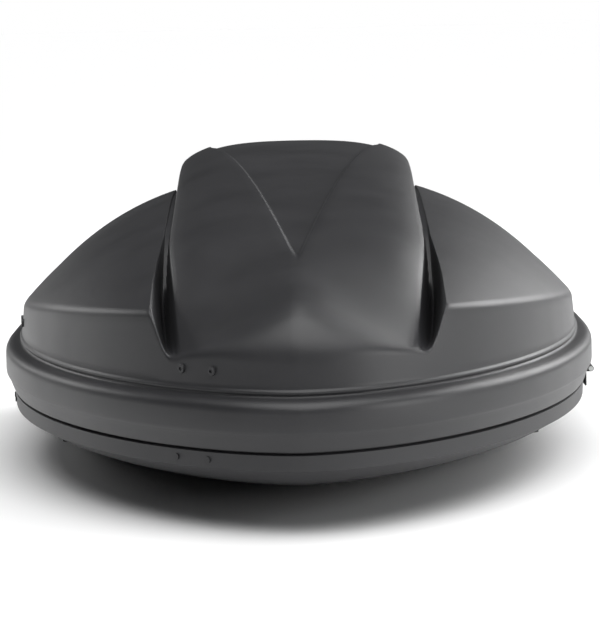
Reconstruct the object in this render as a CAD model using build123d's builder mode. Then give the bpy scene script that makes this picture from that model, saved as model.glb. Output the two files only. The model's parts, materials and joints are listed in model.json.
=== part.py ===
"""Side-opening car roof box: shells, hinges, lid lifters, three-point lock and bar clamps.

Millimetres.  +Z is up, the nose points to -Y and the lid is hinged along the +X side.
The origin is on the ground under the middle of the box as it stands on its rubber feet.
"""
from build123d import *
import os
from math import cos, hypot, pi, radians, sin, tan

# ---------------------------------------------------------------- driving dimensions
RIM_HALF_WIDTH = 455        # bead line round the lid, at its widest
RIM_NOSE = -775             # front end of the bead line
RIM_WIDEST = 200            # where the plan is widest
RIM_TAIL = 775              # rear end of the bead line
SIDE_POWER = 1.65           # plan curve of the front half, across
NOSE_POWER = 2.1            # plan curve of the front half, along
TAIL_POWER = 4              # plan curve of the squarer rear half
OUTLINE_POINTS = 48

FOOT_HEIGHT = 16            # underside of the base above the ground
LID_LIP = 119               # lower edge of the lid
BAND_LOW = 144              # lower edge of the wide band
BAND_HIGH = 180             # upper edge of the wide band
BEAD_HEIGHT = 199           # where the band meets the lid wall
LID_HEIGHT = 480
WALL = 4
DRAFT = tan(radians(5))     # lean of the lid wall

CREASE_NOSE = 295           # height of the edge between wall and roof at the front
CREASE_WIDEST = 240
DOME_HEIGHT = 442           # the wings' roof, if it ran on under the centre hump
RIDGE_PEAK = 450            # where the hump is highest

BASE_RIM = 181              # top of the base's upstanding wall, inside the lid
BASE_BAND_LOW = 92
BASE_BAND_HIGH = 114
BASE_TUCK = 7               # base wall outside the bead line, so the lid lip clears it

HINGE_X = 476
HINGE_Z = 122
HINGE_STATIONS = {"front": 80, "middle": 260, "rear": 440}
KNUCKLE_RADIUS = 5
PIN_RADIUS = 2.5
LID_OPENS = 50              # degrees

RUNNING = 0.05              # radial clearance of a turning fit

BAR_STATIONS = {"front": 60, "rear": 560}
SPARE_SLOT_STATION = 310
CLAMP_X = {"left": -230, "right": 230}
UBOLT_SPAN = 80
UBOLT_RADIUS = 3
SLOT_LENGTH = 50
SLOT_WIDTH = 8
RAIL_TOP = 23
PLATE_TOP = 26


# ---------------------------------------------------------------- plan outlines
def plan(half_width, nose, widest, tail, side_power=SIDE_POWER, nose_power=NOSE_POWER):
    """Points of a closed plan outline: pointed at the nose, square at the tail."""
    points = []
    for step in range(OUTLINE_POINTS):
        across = cos(2 * pi * step / OUTLINE_POINTS)
        along = sin(2 * pi * step / OUTLINE_POINTS)
        if along < 0:
            x = half_width * abs(across) ** (2 / side_power)
            y = widest - (widest - nose) * abs(along) ** (2 / nose_power)
        else:
            x = half_width * abs(across) ** (2 / TAIL_POWER)
            y = widest + (tail - widest) * abs(along) ** (2 / TAIL_POWER)
        points.append((x if across > 0 else -x, y))
    return points


def rim(outset):
    """The bead line moved outwards by outset."""
    return plan(RIM_HALF_WIDTH + outset, RIM_NOSE - outset, RIM_WIDEST, RIM_TAIL + outset)


def rim_x(y, outset=0):
    """Half-width of the rim outline at station y."""
    if y < RIM_WIDEST:
        reach = (RIM_WIDEST - y) / (RIM_WIDEST - RIM_NOSE + outset)
        return (RIM_HALF_WIDTH + outset) * (1 - reach ** NOSE_POWER) ** (1 / SIDE_POWER)
    reach = (y - RIM_WIDEST) / (RIM_TAIL - RIM_WIDEST + outset)
    return (RIM_HALF_WIDTH + outset) * (1 - reach ** TAIL_POWER) ** (1 / TAIL_POWER)


def stack(levels):
    """Solid skinned straight from each level's outline to the next."""
    with BuildPart() as skinned:
        for height, outline in levels:
            with BuildSketch(Plane.XY.offset(height)):
                with BuildLine():
                    Spline(*outline, periodic=True)
                make_face()
        loft(ruled=True)
    return skinned.part


# ---------------------------------------------------------------- base shell solids
# height, half-width, nose, widest, tail, side power, nose power of the hull's underside
HULL_LEVELS = [
    (FOOT_HEIGHT, 382, -370, 250, 690, 1.50, 1.50),
    (22, 398, -450, 240, 705, 1.52, 1.60),
    (54, 424, -660, 225, 735, 1.58, 1.85),
    (72, 440, -745, 212, 750, 1.62, 2.00),
]


def base_solid(inset):
    """The base as a filled body; inset > 0 gives the space inside a wall of that thickness."""
    levels = []
    for height, half_width, nose, widest, tail, side_power, nose_power in HULL_LEVELS:
        outline = plan(half_width - inset, nose + inset, widest, tail - inset, side_power, nose_power)
        levels.append((height + inset, outline))
    levels.append((90, rim(8 - inset)))
    levels.append((BASE_BAND_LOW + inset, rim(12 - inset)))
    levels.append((BASE_BAND_HIGH - inset * 0.8, rim(13 - inset)))
    levels.append((BASE_BAND_HIGH + 3 - inset, rim(BASE_TUCK - inset)))
    levels.append((BASE_RIM + (1 if inset else 0), rim(BASE_TUCK - inset)))
    return stack(levels)


# ---------------------------------------------------------------- lid shell solids
def reach_of(x, y, half_width, half_length_front, half_length_rear):
    """0 on the box's long axis at its widest, 1 on the outline through half_width."""
    if y < RIM_WIDEST:
        across_power, along_power, along = SIDE_POWER, NOSE_POWER, (RIM_WIDEST - y) / half_length_front
    else:
        across_power, along_power, along = TAIL_POWER, TAIL_POWER, (y - RIM_WIDEST) / half_length_rear
    reach = 1.0
    for _ in range(12):
        total = (abs(x) / half_width / reach) ** across_power + (along / reach) ** along_power
        reach = max(reach * total ** (2 / (across_power + along_power)), 1e-6)
    return reach


def crease_height(y):
    """The edge between the lid's wall and its roof falls from the nose to the widest station."""
    blend = min(max((RIM_WIDEST - y) / 800, 0), 1.2)
    return CREASE_WIDEST + (CREASE_NOSE - CREASE_WIDEST) * blend


def wing_height(x, y):
    """Height of the low roof on each side of the hump."""
    reach = reach_of(x, y, RIM_HALF_WIDTH - 5, RIM_WIDEST - RIM_NOSE - 5, RIM_TAIL - RIM_WIDEST - 5)
    dome = 1 - 0.655 * reach ** 2 - 0.345 * reach ** 4
    edge = crease_height(y)
    return max(edge + (DOME_HEIGHT - edge) * dome, 150)


def ridge_height(y):
    """The hump's centre line: a long rise from the nose, a level top, a rounded tail."""
    ahead = max(RIDGE_PEAK - y, 0) / (RIDGE_PEAK + 765)
    behind = max(y - RIDGE_PEAK, 0) / (RIM_TAIL - RIDGE_PEAK)
    rise = 179 * ahead ** 1.8 + 25 * (max(ahead - 0.93, 0) / 0.07) ** 2
    return LID_HEIGHT - rise - 80 * behind ** 5


def foot_half_width(y):
    """The hump's foot: parallel sides that draw in towards the nose."""
    return 200 - 42 * (max(-300 - y, 0) / 465) ** 1.6


def ease(value, low, high):
    """0 below low, 1 above high, smooth between."""
    t = min(max((value - low) / (high - low), 0), 1)
    return t * t * (3 - 2 * t)


def hump_profile(y, drop):
    """Points over the hump at a station, from its left foot to its right foot."""
    ridge, foot = ridge_height(y), foot_half_width(y)
    channel_depth = 8 + 67 * ease(-y, 100, 600)
    toe = min(wing_height(foot, y) - channel_depth, ridge - 52)
    half = [((0.965 + 0.035 * low) * foot, toe + (ridge - 40 - toe) * (1 - low)) for low in (1, 0.6, 0.25, 0)]
    half += [(0.84 * foot, ridge - 21), (0.5 * foot, ridge - 6)]
    if drop:
        half = [(foot - 2.5, toe - 11)] + [(x - drop, z - drop) for x, z in half[1:]]
    left = [(-x, z) for x, z in half]
    return left + [(0, ridge - drop)] + half[::-1]


def roof_solid(drop):
    """Filled body under the roof: two wings and the hump between them, lowered by drop."""
    half_span = 560
    with BuildPart() as roof:
        for station in range(-825, 826, 75):
            inner_end = foot_half_width(station) + 6 + 29 * ease(-station, 100, 600) + drop
            reaches = [inner_end + (half_span - inner_end) * step / 6 for step in range(7)]
            wing = [(x, wing_height(x, station) - drop) for x in reaches]
            with BuildSketch(Plane.XZ.offset(-station)):
                with BuildLine():
                    left_wing = Spline(*[(-x, z) for x, z in wing[::-1]])
                    hump = Spline(*hump_profile(station, drop))
                    right_wing = Spline(*wing)
                    Line(left_wing @ 1, hump @ 0)
                    Line(hump @ 1, right_wing @ 0)
                    Polyline(right_wing @ 1, (half_span, 100), (-half_span, 100), left_wing @ 0)
                make_face()
        loft()
    return roof.part


def lid_wall_solid(inset):
    """Filled body inside the lid's band and its leaning wall."""
    lean = DRAFT * (LID_HEIGHT + 5 - BEAD_HEIGHT)
    return stack([
        (LID_LIP - (9 if inset else 0), rim(15 - inset)),
        (LID_LIP + (0.5 if inset else 1), rim(15 - inset)),
        (BAND_LOW, rim(27 - inset)),
        (BAND_HIGH, rim(27 - inset)),
        (BEAD_HEIGHT - 9 - inset * 0.9, rim(5 - inset)),
        (BEAD_HEIGHT, rim(-inset)),
        (LID_HEIGHT + 5, rim(-inset - lean)),
    ])


def lid_solid(inset):
    """The lid as a filled body; inset > 0 gives the space inside it."""
    with BuildPart() as filled:
        add(roof_solid(inset))
        add(lid_wall_solid(inset), mode=Mode.INTERSECT)
    return filled.part


# ---------------------------------------------------------------- shared helpers
os.makedirs("parts", exist_ok=True)


def write(part, name):
    """Label a finished piece and write its STEP file."""
    part.label = name
    export_step(part, f"parts/{name}.step")


def slab(x_span, y_span, z_span, mode=Mode.ADD):
    """Box between two limits along each axis."""
    centre = [(low + high) / 2 for low, high in (x_span, y_span, z_span)]
    size = [abs(high - low) for low, high in (x_span, y_span, z_span)]
    with Locations(tuple(centre)):
        Box(*size, mode=mode)


def wall_plane(y):
    """Frame on the bead line of the left wall: x towards the tail, y up, z inwards."""
    step = 2
    ahead = Vector(-rim_x(y - step), y - step, 0)
    behind = Vector(-rim_x(y + step), y + step, 0)
    along = (behind - ahead).normalized()
    return Plane(origin=(-rim_x(y), y, 0), x_dir=along, z_dir=along.cross(Vector(0, 0, 1)))


def wall_depth(plane, outset):
    """How far in from the bead line a wall lies that was moved outwards by outset."""
    low, high = -60.0, 60.0
    for _ in range(30):
        middle = (low + high) / 2
        point = plane.from_local_coords(Vector(0, 0, middle))
        if abs(point.X) > rim_x(point.Y, outset):
            low = middle
        else:
            high = middle
    return low


def local_slab(plane, x_span, y_span, z_span, mode=Mode.ADD):
    """Box in a frame's own axes."""
    middle = Vector(*[(low + high) / 2 for low, high in (x_span, y_span, z_span)])
    size = [abs(high - low) for low, high in (x_span, y_span, z_span)]
    centre = Plane(origin=plane.from_local_coords(middle), x_dir=plane.x_dir, z_dir=plane.z_dir)
    with Locations(centre):
        Box(*size, mode=mode)


def local_bar(plane, x, y, z_span, radius, mode=Mode.ADD):
    """Round bar along a frame's z."""
    middle = plane.from_local_coords(Vector(x, y, sum(z_span) / 2))
    with Locations(Plane(origin=middle, x_dir=plane.x_dir, z_dir=plane.z_dir)):
        Cylinder(radius, abs(z_span[1] - z_span[0]), mode=mode)


# Spaces that fittings are trimmed to, so that they follow the curved walls
base_outer = base_solid(0)
base_cavity = base_solid(WALL)
base_room = base_solid(WALL + 0.1)
lid_cavity = lid_solid(WALL)
lid_room = lid_solid(WALL + 0.1)

# ---------------------------------------------------------------- latch stations
LATCH_STATIONS = {"front": -702, "middle": 0, "rear": 440}
LATCH_TRAVEL = 14
BAR_X = -424                # the straight lock bar along the left wall
BAR_LOW = 140
BAR_HIGH = 160
BAR_THICKNESS = 4
FRONT_HOOK_DEPTH = 18
FRONT_HOOK_REACH = 33       # half-length of the short bar under the front hook
HOOK_TIP = 16               # front of the hook's nose, ahead of its station
HOOK_STEM = 4
STRIKER_FACE = 20
FIXING_SPACING = 57
SCREW_HEIGHT = 225
SCREW_RADIUS = 2.5
SCREW_HEAD_RADIUS = 6.5
RIVET_HEIGHT = 103
RIVET_RADIUS = 2.2
RIVET_HEAD_RADIUS = 4.5

LOCK_Y = 220
LOCK_Z = 103
LOCK_RADIUS = 9
CRANK = LATCH_TRAVEL / 2 / sin(radians(45))
CRANK_PIN_RADIUS = 2

side_plane = {
    name: Plane(origin=(-rim_x(y), y, 0), x_dir=(0, 1, 0), z_dir=(1, 0, 0))
    for name, y in LATCH_STATIONS.items()
}
hook_plane = {
    "front": wall_plane(LATCH_STATIONS["front"]),
    "middle": side_plane["middle"],
    "rear": side_plane["rear"],
}
hook_depth = {
    "front": FRONT_HOOK_DEPTH,
    "middle": rim_x(LATCH_STATIONS["middle"]) + BAR_X,
    "rear": rim_x(LATCH_STATIONS["rear"]) + BAR_X,
}


def fixing_planes(name):
    """The two wall frames of a latch station's screws and rivets."""
    station = wall_plane(LATCH_STATIONS[name])
    reach = FIXING_SPACING / 2
    return [wall_plane(station.from_local_coords(Vector(side * reach, 0, 0)).Y) for side in (-1, 1)]


def hook(name):
    """A nose that points to the tail on a stem above the bar."""
    plane = hook_plane[name]
    depth = (hook_depth[name] - BAR_THICKNESS / 2, hook_depth[name] + BAR_THICKNESS / 2)
    local_slab(plane, (-12, HOOK_STEM), (BAR_HIGH - 2, 204), depth)
    local_slab(plane, (HOOK_STEM - 1, HOOK_TIP), (195, 204), depth)


# ---------------------------------------------------------------- base shell
with BuildPart() as base_shell:
    add(base_outer)
    add(base_cavity, mode=Mode.SUBTRACT)
    for side in CLAMP_X.values():
        for station in (*BAR_STATIONS.values(), SPARE_SLOT_STATION):
            with BuildSketch(Plane.XY.offset(FOOT_HEIGHT - 2)):
                with Locations((side, station - UBOLT_SPAN / 2), (side, station + UBOLT_SPAN / 2)):
                    SlotOverall(SLOT_LENGTH, SLOT_WIDTH, rotation=90)
            extrude(amount=WALL + 4, mode=Mode.SUBTRACT)
    for name in LATCH_STATIONS:
        for plane in fixing_planes(name):
            local_bar(plane, 0, RIVET_HEIGHT, (-30, 5), RIVET_RADIUS + RUNNING, mode=Mode.SUBTRACT)
    lock_axis = Plane(origin=(0, LOCK_Y, LOCK_Z), x_dir=(0, 1, 0), z_dir=(1, 0, 0))
    local_bar(lock_axis, 0, 0, (-490, -430), LOCK_RADIUS + RUNNING, mode=Mode.SUBTRACT)
write(base_shell.part, "base_shell")

# ---------------------------------------------------------------- lid shell
with BuildPart() as lid_shell:
    add(lid_solid(0))
    add(lid_cavity, mode=Mode.SUBTRACT)
    for station in HINGE_STATIONS.values():
        slab((HINGE_X - 22, HINGE_X + 20), (station - 23, station + 23), (LID_LIP - 5, BAND_LOW + 4),
             mode=Mode.SUBTRACT)
    for name in LATCH_STATIONS:
        for plane in fixing_planes(name):
            face = wall_depth(plane, -DRAFT * (SCREW_HEIGHT - BEAD_HEIGHT))
            local_bar(plane, 0, SCREW_HEIGHT, (-20, 30), SCREW_RADIUS + RUNNING, mode=Mode.SUBTRACT)
            local_bar(plane, 0, SCREW_HEIGHT, (-20, face + 0.8), SCREW_HEAD_RADIUS + 0.3,
                      mode=Mode.SUBTRACT)
write(lid_shell.part, "lid_shell")

# ---------------------------------------------------------------- rim seal
SEAL_HEIGHT = 2.2
with BuildPart() as rim_seal:
    add(stack([(BASE_RIM, rim(BASE_TUCK - 0.8)), (BASE_RIM + SEAL_HEIGHT, rim(BASE_TUCK - 1.6))]))
    add(stack([(BASE_RIM - 1, rim(BASE_TUCK - 3.2)), (BASE_RIM + SEAL_HEIGHT + 1, rim(BASE_TUCK - 2.4))]),
        mode=Mode.SUBTRACT)
write(rim_seal.part, "rim_seal")

# ---------------------------------------------------------------- feet
FOOT_RADIUS = 14
FEET = [(100, -210), (386, 200), (355, 610)]
base_skin = base_solid(-0.1)
with BuildPart() as rubber_feet:
    for x, y in FEET:
        with BuildSketch(Plane.XY):
            with Locations((x, y), (-x, y)):
                Circle(FOOT_RADIUS)
        extrude(amount=FOOT_HEIGHT + 14, taper=3)
    add(base_skin, mode=Mode.SUBTRACT)
write(rubber_feet.part, "rubber_feet")

# ---------------------------------------------------------------- floor rails and bar clamps
RAIL_WIDTH = 50
for side, x in CLAMP_X.items():
    with BuildPart() as rail:
        slab((x - RAIL_WIDTH / 2, x + RAIL_WIDTH / 2), (-25, 645), (FOOT_HEIGHT + WALL, RAIL_TOP))
        for station in (*BAR_STATIONS.values(), SPARE_SLOT_STATION):
            with BuildSketch(Plane.XY.offset(FOOT_HEIGHT + WALL - 1)):
                with Locations((x, station - UBOLT_SPAN / 2), (x, station + UBOLT_SPAN / 2)):
                    SlotOverall(SLOT_LENGTH, SLOT_WIDTH, rotation=90)
            extrude(amount=5, mode=Mode.SUBTRACT)
        for edge in (x - RAIL_WIDTH / 2, x + RAIL_WIDTH / 2 - 2):
            slab((edge, edge + 2), (-25, 645), (RAIL_TOP, RAIL_TOP + 8))
    write(rail.part, f"floor_rail_{side}")

BIGHT_HEIGHT = 8
LEG_TOP = 72
KNOB_HEIGHT = 20
KNOB_RADIUS = 16
for end, station in BAR_STATIONS.items():
    for side, x in CLAMP_X.items():
        legs = (station - UBOLT_SPAN / 2, station + UBOLT_SPAN / 2)
        with BuildPart() as ubolt:
            with BuildLine():
                FilletPolyline(
                    (x, legs[0], LEG_TOP),
                    (x, legs[0], BIGHT_HEIGHT),
                    (x, legs[1], BIGHT_HEIGHT),
                    (x, legs[1], LEG_TOP),
                    radius=14,
                )
            with BuildSketch(Plane.XY.offset(LEG_TOP)):
                with Locations((x, legs[0])):
                    Circle(UBOLT_RADIUS)
            sweep()
        write(ubolt.part, f"clamp_ubolt_{end}_{side}")

        with BuildPart() as plate:
            slab((x - 15, x + 15), (legs[0] - 18, legs[1] + 18), (RAIL_TOP, PLATE_TOP))
            with Locations((x, legs[0], PLATE_TOP), (x, legs[1], PLATE_TOP)):
                Hole(UBOLT_RADIUS + 0.3, depth=PLATE_TOP - RAIL_TOP)
            fillet(plate.edges().filter_by(Axis.Z).group_by(SortBy.LENGTH)[-1].filter_by(GeomType.LINE), 5)
        write(plate.part, f"clamp_plate_{end}_{side}")

        for which, y in zip(("a", "b"), legs):
            with BuildPart() as knob:
                with BuildSketch(Plane.XY.offset(PLATE_TOP + 0.1)):
                    with Locations((x, y)):
                        Circle(KNOB_RADIUS)
                        with PolarLocations(KNOB_RADIUS + 4, 6):
                            Circle(6.5, mode=Mode.SUBTRACT)
                extrude(amount=KNOB_HEIGHT)
                chamfer(knob.edges().group_by(Axis.Z)[-1], 1.2)
                with BuildSketch(Plane.XY.offset(PLATE_TOP + 0.1)):
                    with Locations((x, y)):
                        Circle(UBOLT_RADIUS + RUNNING)
                extrude(amount=KNOB_HEIGHT + 1, mode=Mode.SUBTRACT)
            write(knob.part, f"clamp_knob_{end}_{side}_{which}")

# ---------------------------------------------------------------- side hinges
for name, station in HINGE_STATIONS.items():
    axis_plane = Plane(origin=(HINGE_X, station, HINGE_Z), x_dir=(1, 0, 0), z_dir=(0, 1, 0))
    wall_out = max(rim_x(station + step) for step in (-20, 0, 20))
    wall_in = min(rim_x(station + step) for step in (-20, 0, 20))
    band_face = wall_out + 13.6
    skirt_face = wall_in + 27 - WALL - 1.3

    with BuildPart() as base_leaf:
        for low, high in ((-20, -8), (8, 20)):
            local_bar(axis_plane, 0, 0, (low, high), KNUCKLE_RADIUS)
            slab((band_face, HINGE_X), (station + low, station + high), (HINGE_Z - 5, HINGE_Z - 2))
        slab((band_face, band_face + 2.5), (station - 20, station + 20), (94, HINGE_Z - 2))
        local_bar(axis_plane, 0, 0, (-21, 21), PIN_RADIUS, mode=Mode.SUBTRACT)
        for side in (-12, 12):
            screw = Plane(origin=(0, station + side, 103), x_dir=(0, 1, 0), z_dir=(1, 0, 0))
            local_bar(screw, 0, 0, (band_face - 1, band_face + 4), 2.05, mode=Mode.SUBTRACT)
    write(base_leaf.part, f"hinge_base_leaf_{name}")

    with BuildPart() as lid_leaf:
        local_bar(axis_plane, 0, 0, (-7.8, 7.8), KNUCKLE_RADIUS)
        slab((skirt_face - 3, skirt_face), (station - 7.8, station + 7.8), (HINGE_Z, BAND_LOW + 3))
        slab((skirt_face - 3, skirt_face), (station - 20, station + 20), (BAND_LOW + 3, BAND_HIGH - 4))
        local_bar(axis_plane, 0, 0, (-9, 9), PIN_RADIUS + RUNNING, mode=Mode.SUBTRACT)
        for side in (-12, 12):
            screw = Plane(origin=(0, station + side, 162), x_dir=(0, 1, 0), z_dir=(1, 0, 0))
            local_bar(screw, 0, 0, (skirt_face - 4, skirt_face + 1), 2.05, mode=Mode.SUBTRACT)
    write(lid_leaf.part, f"hinge_lid_leaf_{name}")

    with BuildPart() as pin:
        local_bar(axis_plane, 0, 0, (-20, 20), PIN_RADIUS)
        local_bar(axis_plane, 0, 0, (-22, -20), KNUCKLE_RADIUS - 1)
        local_bar(axis_plane, 0, 0, (20, 22), KNUCKLE_RADIUS - 1)
    write(pin.part, f"hinge_pin_{name}")

# ---------------------------------------------------------------- lid lifters
# Both pivots lie on one circle round the hinge axis, so a lifter turns half as far as the lid.
LIFTER_STATIONS = {"front": -60, "rear": 560}
LIFTER_FLOOR = {"front": 44, "rear": 31}
LIFTER_ARM = 165
BASE_PIVOT_ANGLE = 201      # seen from the hinge axis, anticlockwise from +X
LID_PIVOT_ANGLE = 133
PIVOT_RADIUS = 3
EYE_RADIUS = 7
TUBE_RADIUS = 9
TUBE_START = 14.5
TUBE_END = 150
PISTON = (36, 44)
ROD_RADIUS = 4


def round_hinge(angle):
    """Point of the pivots' circle, in X and Z."""
    return HINGE_X + LIFTER_ARM * cos(radians(angle)), HINGE_Z + LIFTER_ARM * sin(radians(angle))


def lifter_length(opened):
    """Distance between a lifter's pivots with the lid opened by some degrees."""
    return 2 * LIFTER_ARM * sin(radians(BASE_PIVOT_ANGLE - LID_PIVOT_ANGLE + opened) / 2)


BASE_PIVOT = round_hinge(BASE_PIVOT_ANGLE)
LID_PIVOT = round_hinge(LID_PIVOT_ANGLE)
closed_length = lifter_length(0)
open_length = lifter_length(LID_OPENS)
slack = lifter_length(LID_OPENS / 2) - (closed_length + open_length) / 2   # taken up by the eye's slot
lifter_direction = (
    (LID_PIVOT[0] - BASE_PIVOT[0]) / closed_length,
    0,
    (LID_PIVOT[1] - BASE_PIVOT[1]) / closed_length,
)

for name, station in LIFTER_STATIONS.items():
    along = Plane(origin=(BASE_PIVOT[0], station, BASE_PIVOT[1]), x_dir=(0, 1, 0), z_dir=lifter_direction)
    base_pin = Plane(origin=(BASE_PIVOT[0], station, BASE_PIVOT[1]), x_dir=lifter_direction, z_dir=(0, 1, 0))
    lid_pin = Plane(origin=(LID_PIVOT[0], station, LID_PIVOT[1]), x_dir=lifter_direction, z_dir=(0, 1, 0))

    with BuildPart() as base_bracket:
        x = BASE_PIVOT[0]
        slab((x - 12, x + 12), (station - 8, station - 5), (FOOT_HEIGHT, BASE_PIVOT[1] + 6))
        slab((x - 12, x + 12), (station - 32, station - 5), (FOOT_HEIGHT, LIFTER_FLOOR[name]))
        local_bar(base_pin, 0, 0, (-6, 4), PIVOT_RADIUS)
        add(base_room, mode=Mode.INTERSECT)
    write(base_bracket.part, f"lifter_base_bracket_{name}")

    with BuildPart() as lid_bracket:
        wall_x = min(rim_x(station), rim_x(station - 30)) - 12
        slab((LID_PIVOT[0] - 9, 480), (station - 8, station - 5), (LID_PIVOT[1] - 10, LID_PIVOT[1] + 10))
        slab((wall_x, 480), (station - 32, station - 5), (LID_PIVOT[1] - 22, LID_PIVOT[1] + 6))
        local_bar(lid_pin, 0, 0, (-6, 4), PIVOT_RADIUS)
        add(lid_room, mode=Mode.INTERSECT)
    write(lid_bracket.part, f"lifter_lid_bracket_{name}")

    with BuildPart() as tube:
        local_bar(base_pin, 0, 0, (-2, 2), EYE_RADIUS)
        local_slab(base_pin, (0, TUBE_START + 2), (-4, 4), (-2, 2))
        local_bar(along, 0, 0, (TUBE_START, TUBE_END), TUBE_RADIUS)
        local_bar(along, 0, 0, (TUBE_START + 4, TUBE_END - 5), TUBE_RADIUS - 1.5, mode=Mode.SUBTRACT)
        local_bar(along, 0, 0, (TUBE_END - 10, TUBE_END + 10), ROD_RADIUS + RUNNING, mode=Mode.SUBTRACT)
        local_bar(base_pin, 0, 0, (-3, 3), PIVOT_RADIUS + RUNNING, mode=Mode.SUBTRACT)
    write(tube.part, f"lifter_tube_{name}")

    with BuildPart() as rod:
        local_bar(along, 0, 0, (PISTON[0], closed_length - 6), ROD_RADIUS)
        local_bar(along, 0, 0, PISTON, TUBE_RADIUS - 1.5 - RUNNING)
        for reach in (0, slack):
            local_bar(lid_pin, reach, 0, (-2, 2), EYE_RADIUS)
        local_slab(lid_pin, (0, slack), (-EYE_RADIUS, EYE_RADIUS), (-2, 2))
        slot_half = PIVOT_RADIUS + 0.2
        for reach in (-0.3, slack + 0.3):
            local_bar(lid_pin, reach, 0, (-5, 5), slot_half, mode=Mode.SUBTRACT)
        local_slab(lid_pin, (0, slack), (-slot_half, slot_half), (-5, 5), mode=Mode.SUBTRACT)
    write(rod.part, f"lifter_rod_{name}")

# ---------------------------------------------------------------- strikers and their fixings
for name in LATCH_STATIONS:
    plane = wall_plane(LATCH_STATIONS[name])
    square = hook_plane[name]
    depth = hook_depth[name]
    with BuildPart() as striker:
        local_slab(plane, (-37, 37), (SCREW_HEIGHT - 12, SCREW_HEIGHT + 12), (-10, 12))
        local_slab(square, (STRIKER_FACE, STRIKER_FACE + 3), (188, SCREW_HEIGHT), (-10, depth + 9))
        local_slab(square, (STRIKER_FACE - 2, STRIKER_FACE + 5), (191.5, 208), (depth - 5, depth + 5),
                   mode=Mode.SUBTRACT)
        for screw_plane in fixing_planes(name):
            local_bar(screw_plane, 0, SCREW_HEIGHT, (-10, 30), SCREW_RADIUS + RUNNING, mode=Mode.SUBTRACT)
        add(lid_room, mode=Mode.INTERSECT)
    write(striker.part, f"striker_{name}")

with BuildPart() as striker_screws:
    for name in LATCH_STATIONS:
        for plane in fixing_planes(name):
            face = wall_depth(plane, -DRAFT * (SCREW_HEIGHT - BEAD_HEIGHT)) + 0.8
            local_bar(plane, 0, SCREW_HEIGHT, (face - 4, face), SCREW_HEAD_RADIUS)
            local_bar(plane, 0, SCREW_HEIGHT, (face - 2, 17), SCREW_RADIUS)
            local_bar(plane, 0, SCREW_HEIGHT, (face - 6, face - 2.2), 2.6, mode=Mode.SUBTRACT)
write(striker_screws.part, "striker_screws")

with BuildPart() as latch_rivets:
    for name in LATCH_STATIONS:
        for plane in fixing_planes(name):
            face = wall_depth(plane, 12.7)
            local_bar(plane, 0, RIVET_HEIGHT, (face - 2, face - 0.1), RIVET_HEAD_RADIUS)
            local_bar(plane, 0, RIVET_HEIGHT, (face - 1, face + 9), RIVET_RADIUS)
write(latch_rivets.part, "latch_rivets")

# ---------------------------------------------------------------- hooks, bar and guides
for name in LATCH_STATIONS:
    plane = hook_plane[name]
    depth = hook_depth[name]
    slot = (depth - BAR_THICKNESS / 2 - 0.2, depth + BAR_THICKNESS / 2 + 0.2)
    with BuildPart() as guide:
        local_slab(plane, (-34, 34), (97, BAR_HIGH - 3), (-20, depth + 7))
        local_slab(plane, (-31, 31), (100, BAR_LOW - 5), (-4, depth + 8), mode=Mode.SUBTRACT)
        local_slab(plane, (-40, 40), (BAR_LOW - 0.2, BAR_HIGH), slot, mode=Mode.SUBTRACT)
        for rivet_plane in fixing_planes(name):
            local_bar(rivet_plane, 0, RIVET_HEIGHT, (-30, 10), RIVET_RADIUS + RUNNING, mode=Mode.SUBTRACT)
        add(base_room, mode=Mode.INTERSECT)
    write(guide.part, f"latch_guide_{name}")

bar_depth = (BAR_X - BAR_THICKNESS / 2, BAR_X + BAR_THICKNESS / 2)
crank_y = LOCK_Y - LATCH_TRAVEL / 2
crank_z = LOCK_Z + CRANK * cos(radians(45))
with BuildPart() as lock_bar:
    slab(bar_depth, (-48, 492), (BAR_LOW, BAR_HIGH))
    for name in ("middle", "rear"):
        hook(name)
    slab(bar_depth, (crank_y - 9, crank_y + 9), (LOCK_Z, BAR_LOW + 1))
    slot_half = CRANK_PIN_RADIUS + 0.5
    slab((BAR_X - 5, BAR_X + 5), (crank_y - slot_half, crank_y + slot_half), (crank_z - 3, crank_z + 7),
         mode=Mode.SUBTRACT)
write(lock_bar.part, "lock_bar")

front = hook_plane["front"]
with BuildPart() as front_hook:
    local_slab(front, (-FRONT_HOOK_REACH, FRONT_HOOK_REACH), (BAR_LOW, BAR_HIGH),
               (FRONT_HOOK_DEPTH - BAR_THICKNESS / 2, FRONT_HOOK_DEPTH + BAR_THICKNESS / 2))
    hook("front")
write(front_hook.part, "front_latch_hook")

# ---------------------------------------------------------------- lock
with BuildPart() as lock_case:
    slab((-480, -436), (LOCK_Y - 24, LOCK_Y + 24), (82, 128))
    local_bar(lock_axis, 0, 0, (-490, -430), LOCK_RADIUS + RUNNING, mode=Mode.SUBTRACT)
    add(base_room, mode=Mode.INTERSECT)
write(lock_case.part, "lock_case")

lock_face = -rim_x(LOCK_Y) - 13
with BuildPart() as lock_cylinder:
    local_bar(lock_axis, 0, 0, (lock_face - 1.5, -434), LOCK_RADIUS)
    slab((lock_face - 3, lock_face + 8), (LOCK_Y - 1.2, LOCK_Y + 1.2), (LOCK_Z - 4.5, LOCK_Z + 4.5),
         mode=Mode.SUBTRACT)
    crank_plane = Plane(origin=(0, crank_y, crank_z), x_dir=(0, 1, 0), z_dir=(1, 0, 0))
    local_bar(crank_plane, 0, 0, (-434.5, -431), CRANK_PIN_RADIUS + 3)
    local_bar(lock_axis, 0, 0, (-434.5, -431), LOCK_RADIUS)
    local_bar(crank_plane, 0, 0, (-432, BAR_X + 3), CRANK_PIN_RADIUS)
write(lock_cylinder.part, "lock_cylinder")

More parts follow.
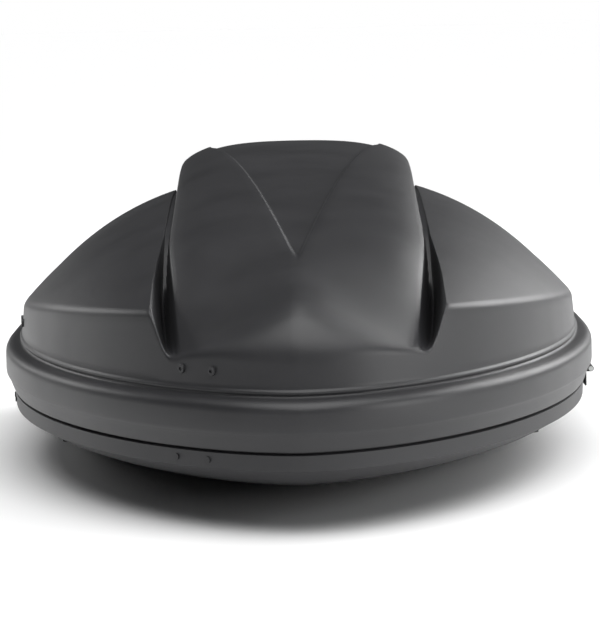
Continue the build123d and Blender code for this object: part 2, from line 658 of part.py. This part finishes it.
# ---------------------------------------------------------------- cable to the front latch
CABLE_RADIUS = 2.5
WIRE_RADIUS = 1.2
CABLE_HEIGHT = (BAR_LOW + BAR_HIGH) / 2
CABLE_END_REACH = 70        # along the nose wall from the front hook's station
cable_end = front.from_local_coords(Vector(CABLE_END_REACH, CABLE_HEIGHT, FRONT_HOOK_DEPTH))
CABLE_ROUTE = [
    (BAR_X, -100),
    (-420, -152),
    (-404, -212),
    (-384, -272),
    (-362, -332),
    (-337, -390),
    (-309, -446),
    (-279, -500),
    (-247, -550),
    (-215, -596),
    (cable_end.X, cable_end.Y),
]


def bend_radii(points):
    """The largest arc that each corner's two runs leave room for."""
    radii = []
    for before, corner, after in zip(points, points[1:], points[2:]):
        first = Vector(corner[0] - before[0], corner[1] - before[1])
        second = Vector(after[0] - corner[0], after[1] - corner[1])
        turn = radians(first.get_angle(second))
        radii.append(0.45 * min(first.length, second.length) / tan(turn / 2))
    return radii


cable_radii = bend_radii(CABLE_ROUTE)
print("cable bend radii:", [round(radius) for radius in cable_radii])
with BuildPart() as latch_cable:
    with BuildLine(Plane.XY.offset(CABLE_HEIGHT)) as cable_path:
        FilletPolyline(*CABLE_ROUTE, radius=cable_radii)
    first_run = Vector(*CABLE_ROUTE[1]) - Vector(*CABLE_ROUTE[0])
    with BuildSketch(Plane(origin=(*CABLE_ROUTE[0], CABLE_HEIGHT), z_dir=first_run)):
        Circle(CABLE_RADIUS)
    sweep()
cable_length = sum(edge.length for edge in cable_path.edges())
print("cable length", cable_length, "volume ratio",
      latch_cable.part.volume / (cable_length * pi * CABLE_RADIUS ** 2))
write(latch_cable.part, "latch_cable")

anchor_middle = Plane(origin=(BAR_X, -100, CABLE_HEIGHT), x_dir=(1, 0, 0), z_dir=(0, 1, 0))
anchor_front = Plane(origin=cable_end, x_dir=(0, 0, 1), z_dir=front.x_dir * -1)
with BuildPart() as cable_anchors:
    local_slab(anchor_middle, (-24, 7), (-9, 9), (0.1, 24))
    local_slab(anchor_front, (-9, 9), (-6, 30), (1.2, 22))
    add(base_room, mode=Mode.INTERSECT)
    for anchor in (anchor_middle, anchor_front):
        local_bar(anchor, 0, 0, (-1, 30), WIRE_RADIUS + RUNNING, mode=Mode.SUBTRACT)
write(cable_anchors.part, "cable_anchors")

with BuildPart() as wire_middle:
    local_bar(anchor_middle, 0, 0, (4, 51.9), WIRE_RADIUS)
write(wire_middle.part, "cable_wire_middle")
with BuildPart() as wire_front:
    local_bar(anchor_front, 0, 0, (LATCH_TRAVEL + 1, CABLE_END_REACH - FRONT_HOOK_REACH - 0.1), WIRE_RADIUS)
write(wire_front.part, "cable_wire_front")

# ---------------------------------------------------------------- lid stiffeners
STIFFENERS = {"front": 0, "rear": 450}
STIFFENER_HALF_WIDTH = 15


def hump_slice(station, drop):
    """Filled slice of the hump, lowered by drop."""
    with BuildPart() as piece:
        for y in (station - STIFFENER_HALF_WIDTH, station, station + STIFFENER_HALF_WIDTH):
            with BuildSketch(Plane.XZ.offset(-y)):
                with BuildLine():
                    top = Spline(*hump_profile(y, drop))
                    reach = (top @ 1).X
                    Polyline(top @ 1, (reach, 250), (-reach, 250), top @ 0)
                make_face()
        loft(ruled=True)
    return piece.part


for name, station in STIFFENERS.items():
    with BuildPart() as stiffener:
        add(hump_slice(station, WALL + 1))
        add(hump_slice(station, WALL + 6), mode=Mode.SUBTRACT)
        slab((-160, 160), (station - 20, station + 20), (300, LID_HEIGHT), mode=Mode.INTERSECT)
    write(stiffener.part, f"lid_stiffener_{name}")
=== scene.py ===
"""Looks of the car roof box: moulded shells, hardware finishes, soft studio and camera."""
import json
from math import acos, asin, cos, exp, pi, radians, sin, sqrt, tan

import bmesh
import bpy
from mathutils import Matrix, Vector


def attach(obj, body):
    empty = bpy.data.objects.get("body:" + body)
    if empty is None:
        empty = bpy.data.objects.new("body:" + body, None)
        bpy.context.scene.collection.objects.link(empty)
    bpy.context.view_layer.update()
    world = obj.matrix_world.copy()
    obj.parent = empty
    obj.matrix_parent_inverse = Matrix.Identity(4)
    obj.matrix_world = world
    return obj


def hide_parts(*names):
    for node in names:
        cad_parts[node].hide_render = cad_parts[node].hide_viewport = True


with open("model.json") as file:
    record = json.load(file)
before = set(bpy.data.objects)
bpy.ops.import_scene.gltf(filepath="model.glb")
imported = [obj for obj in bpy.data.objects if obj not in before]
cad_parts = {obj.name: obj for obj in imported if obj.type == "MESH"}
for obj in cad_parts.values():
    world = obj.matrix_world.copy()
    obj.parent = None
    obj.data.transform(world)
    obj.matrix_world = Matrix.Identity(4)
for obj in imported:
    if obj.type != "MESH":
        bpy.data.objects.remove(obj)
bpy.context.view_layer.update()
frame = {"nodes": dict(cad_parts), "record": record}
MM = 0.001

# ------------------------------------------------------------------ driving sizes, in millimetres
RIM_HALF_WIDTH = 455
RIM_NOSE = -775
RIM_WIDEST = 200
RIM_TAIL = 775
SIDE_POWER = 1.65
NOSE_POWER = 2.1
TAIL_POWER = 4
BEAD_HEIGHT = 199
LID_HEIGHT = 480
DOME_HEIGHT = 442
RIDGE_PEAK = 450
CREASE_NOSE = 295
CREASE_WIDEST = 240
DRAFT = tan(radians(5))
LID_WALL = 3.5
VEE_APEX = -576.8
VEE_SPREAD = 0.1358
VEE_DEPTH = 6.5
VALLEY_LIP = 241
HINGE_STATIONS = (80, 260, 440)
POCKET_HALF = 23
POCKET_TOP = 148


# ------------------------------------------------------------------ plan outline
def rim_point(angle, outset):
    """Point of the right half of the plan: -90 degrees is the nose, +90 the tail."""
    across, along = max(cos(angle), 0.0), abs(sin(angle))
    if angle < 0:
        x = (RIM_HALF_WIDTH + outset) * across ** (2 / SIDE_POWER)
        y = RIM_WIDEST - (RIM_WIDEST - RIM_NOSE + outset) * along ** (2 / NOSE_POWER)
    else:
        x = (RIM_HALF_WIDTH + outset) * across ** (2 / TAIL_POWER)
        y = RIM_WIDEST + (RIM_TAIL - RIM_WIDEST + outset) * along ** (2 / TAIL_POWER)
    return x, y


def angle_at_x(x, outset, tail=False):
    """The outline's parameter where it is x wide, on its nose or its tail side."""
    share = min(x / (RIM_HALF_WIDTH + outset), 1)
    power = TAIL_POWER if tail else SIDE_POWER
    return (1 if tail else -1) * acos(share ** (power / 2))


def angle_at_y(y, outset):
    """The outline's parameter at station y."""
    if y < RIM_WIDEST:
        share = min((RIM_WIDEST - y) / (RIM_WIDEST - RIM_NOSE + outset), 1)
        return -asin(share ** (NOSE_POWER / 2))
    share = min((y - RIM_WIDEST) / (RIM_TAIL - RIM_WIDEST + outset), 1)
    return asin(share ** (TAIL_POWER / 2))


# ------------------------------------------------------------------ the lid's roof
def ease(value, low, high):
    """0 below low, 1 above high, smooth between."""
    t = min(max((value - low) / (high - low), 0), 1)
    return t * t * (3 - 2 * t)


def reach_of(x, y):
    """0 on the long axis at the widest station, 1 on the roof's edge."""
    half_width = RIM_HALF_WIDTH - 5
    if y < RIM_WIDEST:
        across_power, along_power = SIDE_POWER, NOSE_POWER
        along = (RIM_WIDEST - y) / (RIM_WIDEST - RIM_NOSE - 5)
    else:
        across_power, along_power = TAIL_POWER, TAIL_POWER
        along = (y - RIM_WIDEST) / (RIM_TAIL - RIM_WIDEST - 5)
    reach = 1.0
    for _ in range(8):
        total = (abs(x) / half_width / reach) ** across_power + (along / reach) ** along_power
        reach = max(reach * total ** (2 / (across_power + along_power)), 1e-6)
    return reach


def wing_height(x, y):
    """Height of the low roof on each side of the hump."""
    reach = reach_of(x, y)
    dome = 1 - 0.655 * reach ** 2 - 0.345 * reach ** 4
    edge = CREASE_WIDEST + (CREASE_NOSE - CREASE_WIDEST) * min(max((RIM_WIDEST - y) / 800, 0), 1.2)
    return max(edge + (DOME_HEIGHT - edge) * dome, 150)


def ridge_height(y):
    """The hump's centre line: a long rise from the nose, a level top, a rounded tail."""
    ahead = max(RIDGE_PEAK - y, 0) / (RIDGE_PEAK + 765)
    behind = max(y - RIDGE_PEAK, 0) / (RIM_TAIL - RIDGE_PEAK)
    rise = 179 * ahead ** 1.8 + 25 * (max(ahead - 0.93, 0) / 0.07) ** 2
    return LID_HEIGHT - rise - 80 * behind ** 5


def foot_half_width(y):
    """The hump's foot: nearly parallel sides that draw in towards the nose."""
    return 198 + 5 * ease(y, -100, 450) - 28 * (max(-300 - y, 0) / 380) ** 1.4


def wing_inner(y):
    """Where the wing's roof ends beside the hump."""
    return 202 + 5 * ease(y, -100, 450) + 8 * ease(-y, 260, 520)


def vee_inside(x, y):
    """How far a point lies inside the long V let into the hump; negative outside."""
    slanted = VEE_SPREAD * (y - VEE_APEX) - sqrt(x * x + 25)
    return min(slanted, 134 + 0.03 * y - abs(x))


def vee_half_width(y):
    """Half-width of the V."""
    spread = VEE_SPREAD * max(y - VEE_APEX, 0)
    return max(min(sqrt(max(spread ** 2 - 25, 0)), 134 + 0.03 * y), 10)


def hump_height(x, y):
    """The hump's crown, with its rounded shoulders and the V."""
    share = min(abs(x) / foot_half_width(y), 1.0)
    shoulder = 42 * (max(share - 0.965, 0) / 0.035) ** 1.5
    level = 10 * share ** 2 + 30 * share ** 4 + 6 * share ** 20 + shoulder
    nose = 95 * (sqrt(share * share + 0.02) - 0.141) + 4 * share ** 8
    toward_nose = ease(-y, 400, 720)
    crown = level + (nose - level) * toward_nose
    proud = VEE_DEPTH * ease(y, -700, -560) * (1 - ease(y, 600, 680))
    sunk = ease(vee_inside(x, y), -1, 8)
    return ridge_height(y) - crown + proud * (1 - sunk)


def valley_floor(y):
    """Height of the valley between hump and wing, which plunges into a channel at the front."""
    wing = wing_height(wing_inner(y), y)
    return max(wing - 4 - 74 * ease(-y, 240, 480), VALLEY_LIP)


def valley_line(y):
    """Half-width of the valley's lowest line."""
    foot, inner = foot_half_width(y), wing_inner(y)
    return foot + min(0.5 * (inner - foot), 7)


def roof_height(x, y):
    """Height of the lid's roof at a plan point."""
    x = abs(x)
    foot, inner, valley = foot_half_width(y), wing_inner(y), valley_line(y)
    if x >= inner:
        return wing_height(x, y)
    floor = valley_floor(y)
    if x >= valley:
        return floor + (wing_height(inner, y) - floor) * ease(x, valley, inner)
    hump = hump_height(x, y)
    if x > foot:
        side = hump_height(foot, y)
        if side < floor:
            return floor
        return side + (floor - side) * ease(x, foot - 2, valley)
    return max(hump, floor)


# ------------------------------------------------------------------ mesh helpers
def new_object(name, vertices, faces, material=None):
    """Mesh object from millimetre vertices."""
    mesh = bpy.data.meshes.new(name)
    mesh.from_pydata([tuple(c * MM for c in v) for v in vertices], [], faces)
    mesh.validate()
    mesh.update()
    obj = bpy.data.objects.new(name, mesh)
    bpy.context.collection.objects.link(obj)
    if material:
        mesh.materials.append(material)
    return obj


def apply_modifiers(obj):
    """Replaces an object's mesh by its evaluated one."""
    depsgraph = bpy.context.evaluated_depsgraph_get()
    mesh = bpy.data.meshes.new_from_object(obj.evaluated_get(depsgraph))
    obj.modifiers.clear()
    obj.data = mesh


def smooth_by_angle(obj, degrees_limit):
    """Smooth shading with sharp edges above an angle."""
    obj.data.shade_smooth()
    obj.data.set_sharp_from_angle(angle=radians(degrees_limit))


def clean(obj, distance):
    """Merges the points that fell together and turns all faces outwards."""
    work = bmesh.new()
    work.from_mesh(obj.data)
    bmesh.ops.remove_doubles(work, verts=work.verts, dist=distance * MM)
    bmesh.ops.dissolve_degenerate(work, edges=work.edges, dist=distance * MM)
    bmesh.ops.recalc_face_normals(work, faces=work.faces)
    work.to_mesh(obj.data)
    work.free()


# ------------------------------------------------------------------ the lid shell
CORNER_FRONT_X = 150
CORNER_REAR_X = 372
GRID_OUTSET = -8            # outline on which the grid's corners and stations lie

# height and outset down the rim: bead, groove, band shoulder, band, tucked lip
RIM_PROFILE = [
    (202.2, 0.3), (201.2, 2.2), (199.2, 3.2), (197.2, 2.8), (195.8, 1.6),
    (194.2, 1.2), (192.4, 2.2), (191.2, 4.6), (190.2, 9.0), (188.6, 15.0),
    (186.4, 20.0), (183.0, 24.0), (178.0, 26.4), (172.0, 27.0), (160.0, 27.0), (148.0, 27.0),
    (145.4, 26.6), (143.6, 25.2), (141.6, 23.8), (136.0, 21.6), (128.0, 18.6), (121.0, 15.9),
    (119.3, 14.6), (119.0, 13.0),
]


def rounding(angle):
    """Size of the round between wall and roof: small, but generous at the middle of the nose."""
    if angle > 0:
        return 8
    x = rim_point(angle, GRID_OUTSET)[0]
    return 8 + 24 * exp(-(x / 75) ** 2)


def crease(angle):
    """Height and outset of the edge between wall and roof."""
    height = CREASE_WIDEST
    for _ in range(4):
        outset = -(height - BEAD_HEIGHT) * DRAFT
        x, y = rim_point(angle, outset)
        height = max(roof_height(x, y), BEAD_HEIGHT + 14)
    return height, -(height - BEAD_HEIGHT) * DRAFT


def row_angles():
    """Parameters of the grid's side edge, from the front corner to the rear one."""
    start = angle_at_x(CORNER_FRONT_X, GRID_OUTSET)
    end = angle_at_x(CORNER_REAR_X, GRID_OUTSET, tail=True)
    stations = []
    y = rim_point(start, GRID_OUTSET)[1]
    last = rim_point(end, GRID_OUTSET)[1]
    while y < last - 2:
        stations.append(y)
        y += 3.0 if y < -560 else (7.0 if y < 640 else 3.5)
    for station in HINGE_STATIONS:
        for edge in (station - POCKET_HALF, station + POCKET_HALF):
            nearest = min(range(len(stations)), key=lambda k: abs(stations[k] - edge))
            stations[nearest] = edge
    return [angle_at_y(y, GRID_OUTSET) for y in stations] + [end]


def column_positions(y, limit):
    """Columns of the roof grid on the right half, on the features that run lengthwise."""
    foot, inner = foot_half_width(y), wing_inner(y)
    vee, valley = vee_half_width(y), valley_line(y)
    spans = [
        (0, vee - 9, 16), (vee - 9, vee + 1, 6), (vee + 1, 0.93 * foot, 10), (0.93 * foot, foot, 12),
        (foot, valley, 6), (valley, inner, 10), (inner, inner + 6, 3),
    ]
    columns = []
    for low, high, count in spans:
        columns += [low + (high - low) * k / count for k in range(count)]
    outer = max(limit, inner + 6)
    columns += [inner + 6 + (outer - inner - 6) * k / 40 for k in range(41)]
    return [min(x, limit) for x in columns]


def row_shape(share, front):
    """0 on the axis, 1 at the row's end: how a row bends like the nose or the tail."""
    if front:
        span = CORNER_FRONT_X / (RIM_HALF_WIDTH - 8)
        return (1 - (1 - (share * span) ** SIDE_POWER) ** (1 / NOSE_POWER)) / (
            1 - (1 - span ** SIDE_POWER) ** (1 / NOSE_POWER))
    span = CORNER_REAR_X / (RIM_HALF_WIDTH - 8)
    return (1 - (1 - (share * span) ** TAIL_POWER) ** (1 / TAIL_POWER)) / (
        1 - (1 - span ** TAIL_POWER) ** (1 / TAIL_POWER))


def lid_grid():
    """Roof vertices of the right half in plan, and the outline parameters of their side edge."""
    angles = row_angles()
    insets = [crease(angle)[1] - rounding(angle) for angle in angles]
    nose_y = rim_point(-pi / 2, crease(-pi / 2)[1] - rounding(-pi / 2))[1]
    tail_y = rim_point(pi / 2, crease(pi / 2)[1] - rounding(pi / 2))[1]
    front_y = rim_point(angles[0], insets[0])[1]
    rear_y = rim_point(angles[-1], insets[-1])[1]
    rows = []
    for angle, inset in zip(angles, insets):
        limit, end_y = rim_point(angle, inset)
        front_bend = (front_y - nose_y) * (1 - ease(end_y, front_y, front_y + 420))
        rear_bend = (rear_y - tail_y) * ease(end_y, rear_y - 240, rear_y)
        along = [end_y] * len(column_positions(end_y, limit))
        for _ in range(3):
            row = []
            for k, y in enumerate(along):
                x = column_positions(y, limit)[k]
                share = x / limit
                bend = front_bend * (1 - row_shape(share, True)) + rear_bend * (1 - row_shape(share, False))
                row.append((x, end_y - bend))
            along = [y for x, y in row]
        rows.append(row)
    return rows, angles


def edge_loop(rows, angles):
    """Outline parameters right round the right half: nose arc, side, tail arc."""
    front = [angle_at_x(x, -12) for x, y in rows[0]]
    front[0] = -pi / 2
    front[-1] = angles[0]
    rear = [angle_at_x(x, -12, tail=True) for x, y in rows[-1]]
    rear[0] = pi / 2
    rear[-1] = angles[-1]
    return front, rear


def wall_rings(angle):
    """Points from the roof's rounded edge down to the lip, at one outline parameter."""
    height, outset = crease(angle)
    size = rounding(angle)
    inner = rim_point(angle, outset - size)
    roof_edge = (*inner, roof_height(*inner))
    corner = (*rim_point(angle, outset), height)
    below = (*rim_point(angle, outset + size * DRAFT), height - size)
    ring = []
    for k in range(1, 6):
        s = k / 5
        ring.append(tuple(
            (1 - s) ** 2 * roof_edge[i] + 2 * s * (1 - s) * corner[i] + s * s * below[i] for i in range(3)
        ))
    wall_foot = BEAD_HEIGHT + 5
    steps = 8
    for k in range(1, steps + 1):
        z = height - size + (wall_foot - height + size) * k / steps
        ring.append((*rim_point(angle, -(z - BEAD_HEIGHT) * DRAFT), z))
    for z, step in RIM_PROFILE:
        ring.append((*rim_point(angle, step), z))
    return ring


def lid_outer():
    """The lid's outer skin, left and right halves."""
    rows, angles = lid_grid()
    front, rear = edge_loop(rows, angles)
    vertices = []
    faces = []
    columns = len(rows[0])
    indices = []
    for row in rows:
        indices.append([])
        for x, y in row:
            indices[-1].append(len(vertices))
            vertices.append((x, y, roof_height(x, y)))
    for k, angle in enumerate(front):
        x, y = rim_point(angle, crease(angle)[1] - rounding(angle))
        vertices[indices[0][k]] = (x, y, roof_height(x, y))
    for k, angle in enumerate(rear):
        x, y = rim_point(angle, crease(angle)[1] - rounding(angle))
        vertices[indices[-1][k]] = (x, y, roof_height(x, y))
    for j in range(len(rows) - 1):
        for k in range(columns - 1):
            a, b = indices[j][k], indices[j][k + 1]
            c, d = indices[j + 1][k + 1], indices[j + 1][k]
            faces.append((a, b, c, d))
    loop = [(indices[0][k], front[k]) for k in range(columns)]
    loop += [(indices[j][-1], angles[j]) for j in range(1, len(rows) - 1)]
    loop += [(indices[-1][k], rear[k]) for k in range(columns - 1, -1, -1)]
    previous = None
    for index, angle in loop:
        ring = [index]
        for point in wall_rings(angle):
            ring.append(len(vertices))
            vertices.append(point)
        if previous:
            for k in range(len(ring) - 1):
                faces.append((previous[k], previous[k + 1], ring[k + 1], ring[k]))
        previous = ring
    return vertices, faces


def in_pocket(vertices, face):
    """Inside one of the hinge pockets in the right-hand band."""
    x, y, z = (sum(vertices[i][axis] for i in face) / len(face) for axis in range(3))
    return x > 440 and z < POCKET_TOP and any(abs(y - s) < POCKET_HALF for s in HINGE_STATIONS)


def build_lid(material):
    """Outer skin of both halves, thickened inwards; only the right band has hinge pockets."""
    vertices, faces = lid_outer()
    count = len(vertices)
    whole = vertices + [(-x, y, z) for x, y, z in vertices]
    left = [tuple(i + count for i in reversed(face)) for face in faces]
    right = [face for face in faces if not in_pocket(vertices, face)]
    lid = new_object("lid_moulding", whole, right + left, material)
    clean(lid, 0.05)
    thick = lid.modifiers.new("wall", "SOLIDIFY")
    thick.thickness = LID_WALL * MM
    thick.offset = -1
    thick.use_even_offset = False
    apply_modifiers(lid)
    smooth_by_angle(lid, 40)
    return lid


# ------------------------------------------------------------------ materials
def grained(name, colour, roughness, grain_mm, bump, speckle=0.25):
    """Moulded plastic: fine grain, faint colour variation, uneven gloss."""
    material = bpy.data.materials.new(name)
    material.use_nodes = True
    nodes, links = material.node_tree.nodes, material.node_tree.links
    shader = nodes["Principled BSDF"]
    shader.inputs["Specular IOR Level"].default_value = 0.5
    place = nodes.new("ShaderNodeTexCoord")
    fine = nodes.new("ShaderNodeTexNoise")
    fine.inputs["Scale"].default_value = 1000 / grain_mm
    fine.inputs["Detail"].default_value = 3
    fine.inputs["Roughness"].default_value = 0.6
    broad = nodes.new("ShaderNodeTexNoise")
    broad.inputs["Scale"].default_value = 9
    broad.inputs["Detail"].default_value = 4
    links.new(place.outputs["Object"], fine.inputs["Vector"])
    links.new(place.outputs["Object"], broad.inputs["Vector"])
    tint = nodes.new("ShaderNodeValToRGB")
    dark = tuple(c * (1 - speckle) for c in colour)
    light = tuple(min(c * (1 + speckle), 1) for c in colour)
    tint.color_ramp.elements[0].position = 0.3
    tint.color_ramp.elements[0].color = (*dark, 1)
    tint.color_ramp.elements[1].position = 0.7
    tint.color_ramp.elements[1].color = (*light, 1)
    blend = nodes.new("ShaderNodeMix")
    blend.data_type = "FLOAT"
    blend.inputs["Factor"].default_value = 0.45
    links.new(fine.outputs["Fac"], blend.inputs["A"])
    links.new(broad.outputs["Fac"], blend.inputs["B"])
    links.new(blend.outputs["Result"], tint.inputs["Fac"])
    links.new(tint.outputs["Color"], shader.inputs["Base Color"])
    gloss = nodes.new("ShaderNodeMapRange")
    gloss.inputs["To Min"].default_value = roughness - 0.06
    gloss.inputs["To Max"].default_value = roughness + 0.06
    links.new(broad.outputs["Fac"], gloss.inputs["Value"])
    links.new(gloss.outputs["Result"], shader.inputs["Roughness"])
    relief = nodes.new("ShaderNodeBump")
    relief.inputs["Strength"].default_value = bump
    relief.inputs["Distance"].default_value = 0.0006
    links.new(fine.outputs["Fac"], relief.inputs["Height"])
    links.new(relief.outputs["Normal"], shader.inputs["Normal"])
    return material


def metal(name, colour, roughness, grain_mm=0.4, bump=0.15, metallic=1.0):
    """Plated or coated metal with fine brushing and a little tarnish."""
    material = grained(name, colour, roughness, grain_mm, bump, speckle=0.12)
    material.node_tree.nodes["Principled BSDF"].inputs["Metallic"].default_value = metallic
    return material


shell_black = grained("shell_black", (0.022, 0.022, 0.024), 0.42, 1.1, 0.35)
base_black = grained("base_black", (0.024, 0.024, 0.026), 0.5, 1.4, 0.5)
moulded_black = grained("moulded_black", (0.03, 0.03, 0.032), 0.38, 0.8, 0.25)
seal_rubber = grained("seal_rubber", (0.015, 0.015, 0.015), 0.7, 0.7, 0.3)
cable_sheath = grained("cable_sheath", (0.02, 0.02, 0.021), 0.45, 0.5, 0.2)
zinc = metal("zinc_steel", (0.60, 0.61, 0.60), 0.34)
black_steel = metal("black_steel", (0.03, 0.03, 0.032), 0.45, 0.6, 0.3, metallic=0.2)
polished = metal("lifter_rod", (0.75, 0.75, 0.75), 0.12, 0.3, 0.04)
lock_metal = metal("lock_metal", (0.5, 0.5, 0.5), 0.28, 0.3, 0.1)
FINISHES = {
    "shell_black": shell_black, "base_black": base_black, "moulded_black": moulded_black,
    "seal_rubber": seal_rubber, "zinc_steel": zinc, "black_steel": black_steel,
    "lifter_rod": polished, "lock_metal": lock_metal, "cable_sheath": cable_sheath,
}
slots = {entry["node"]: entry["material_slot"] for entry in frame["record"]["subparts"]}
for node, obj in frame["nodes"].items():
    obj.data.materials.clear()
    obj.data.materials.append(FINISHES[slots[node]])

lid = build_lid(shell_black)
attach(lid, "lid")
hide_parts("lid_shell")

# ------------------------------------------------------------------ studio
bpy.context.scene.view_settings.view_transform = "Standard"


def light_path_split(tree, seen, unseen):
    """World that differs between what the camera sees and what lights the object."""
    nodes, links = tree.nodes, tree.links
    path = nodes.new("ShaderNodeLightPath")
    mix = nodes.new("ShaderNodeMixShader")
    links.new(path.outputs["Is Camera Ray"], mix.inputs["Fac"])
    links.new(unseen.outputs[0], mix.inputs[1])
    links.new(seen.outputs[0], mix.inputs[2])
    links.new(mix.outputs["Shader"], nodes["World Output"].inputs["Surface"])


floor_material = bpy.data.materials.new("studio_floor")
floor_material.use_nodes = True
floor_shader = floor_material.node_tree.nodes["Principled BSDF"]
floor_shader.inputs["Base Color"].default_value = (0.92, 0.92, 0.92, 1)
floor_shader.inputs["Roughness"].default_value = 0.95
floor_shader.inputs["Specular IOR Level"].default_value = 0.1
FLOOR_HALF = 60000
floor_corners = [(x * FLOOR_HALF, y * FLOOR_HALF, 0) for x, y in ((-1, -1), (1, -1), (1, 1), (-1, 1))]
floor = new_object("studio_floor", floor_corners, [(0, 1, 2, 3)], floor_material)

world = bpy.data.worlds.new("studio")
bpy.context.scene.world = world
world.use_nodes = True
sky = world.node_tree.nodes["Background"]
sky.inputs["Color"].default_value = (1, 1, 1, 1)
sky.inputs["Strength"].default_value = 1.0
dim = world.node_tree.nodes.new("ShaderNodeBackground")
dim.inputs["Color"].default_value = (0.95, 0.97, 1, 1)
dim.inputs["Strength"].default_value = 0.05
light_path_split(world.node_tree, sky, dim)


def softbox(name, place, aim, size, power):
    """Rectangular area light that looks at a point."""
    data = bpy.data.lights.new(name, "AREA")
    data.shape = "RECTANGLE"
    data.size, data.size_y = size
    data.energy = power
    obj = bpy.data.objects.new(name, data)
    obj.location = place
    obj.rotation_euler = (Vector(aim) - Vector(place)).to_track_quat("-Z", "Y").to_euler()
    bpy.context.collection.objects.link(obj)


def sun(name, direction, spread, strength):
    """Distant light from a direction, spread over a wide disc of sky."""
    data = bpy.data.lights.new(name, "SUN")
    data.angle = radians(spread)
    data.energy = strength
    obj = bpy.data.objects.new(name, data)
    obj.rotation_euler = Vector(direction).to_track_quat("Z", "Y").to_euler()
    bpy.context.collection.objects.link(obj)


sun("overhead", (0.1, -0.25, 1), 80, 3.5)
softbox("right_rear", (3.4, 3.0, 2.2), (0, 0, 0.3), (3.0, 2.4), 130)
softbox("left_rear", (-3.4, 3.4, 1.8), (0, 0, 0.3), (2.0, 1.6), 30)
softbox("right_side", (4.5, -1.5, 1.2), (0, 0, 0.2), (2.0, 1.6), 60)

# ------------------------------------------------------------------ camera
CAMERA_DISTANCE = 5.0
CAMERA_ELEVATION = radians(6)
CAMERA_ROLL = radians(1.17)
CAMERA_TARGET = Vector((0, 0, 0.220))
camera_data = bpy.data.cameras.new("camera")
camera_data.lens = 175.5
camera_data.clip_end = 500
camera_data.shift_x = 0.0027
camera = bpy.data.objects.new("camera", camera_data)
back = Vector((0, -cos(CAMERA_ELEVATION), sin(CAMERA_ELEVATION)))
upright = Vector((0, sin(CAMERA_ELEVATION), cos(CAMERA_ELEVATION)))
right = Vector((1, 0, 0)) * cos(CAMERA_ROLL) - upright * sin(CAMERA_ROLL)
up = back.cross(right)
place = CAMERA_TARGET + back * CAMERA_DISTANCE
camera.matrix_world = Matrix((
    (right.x, up.x, back.x, place.x),
    (right.y, up.y, back.y, place.y),
    (right.z, up.z, back.z, place.z),
    (0, 0, 0, 1),
))
bpy.context.collection.objects.link(camera)
bpy.context.scene.camera = camera
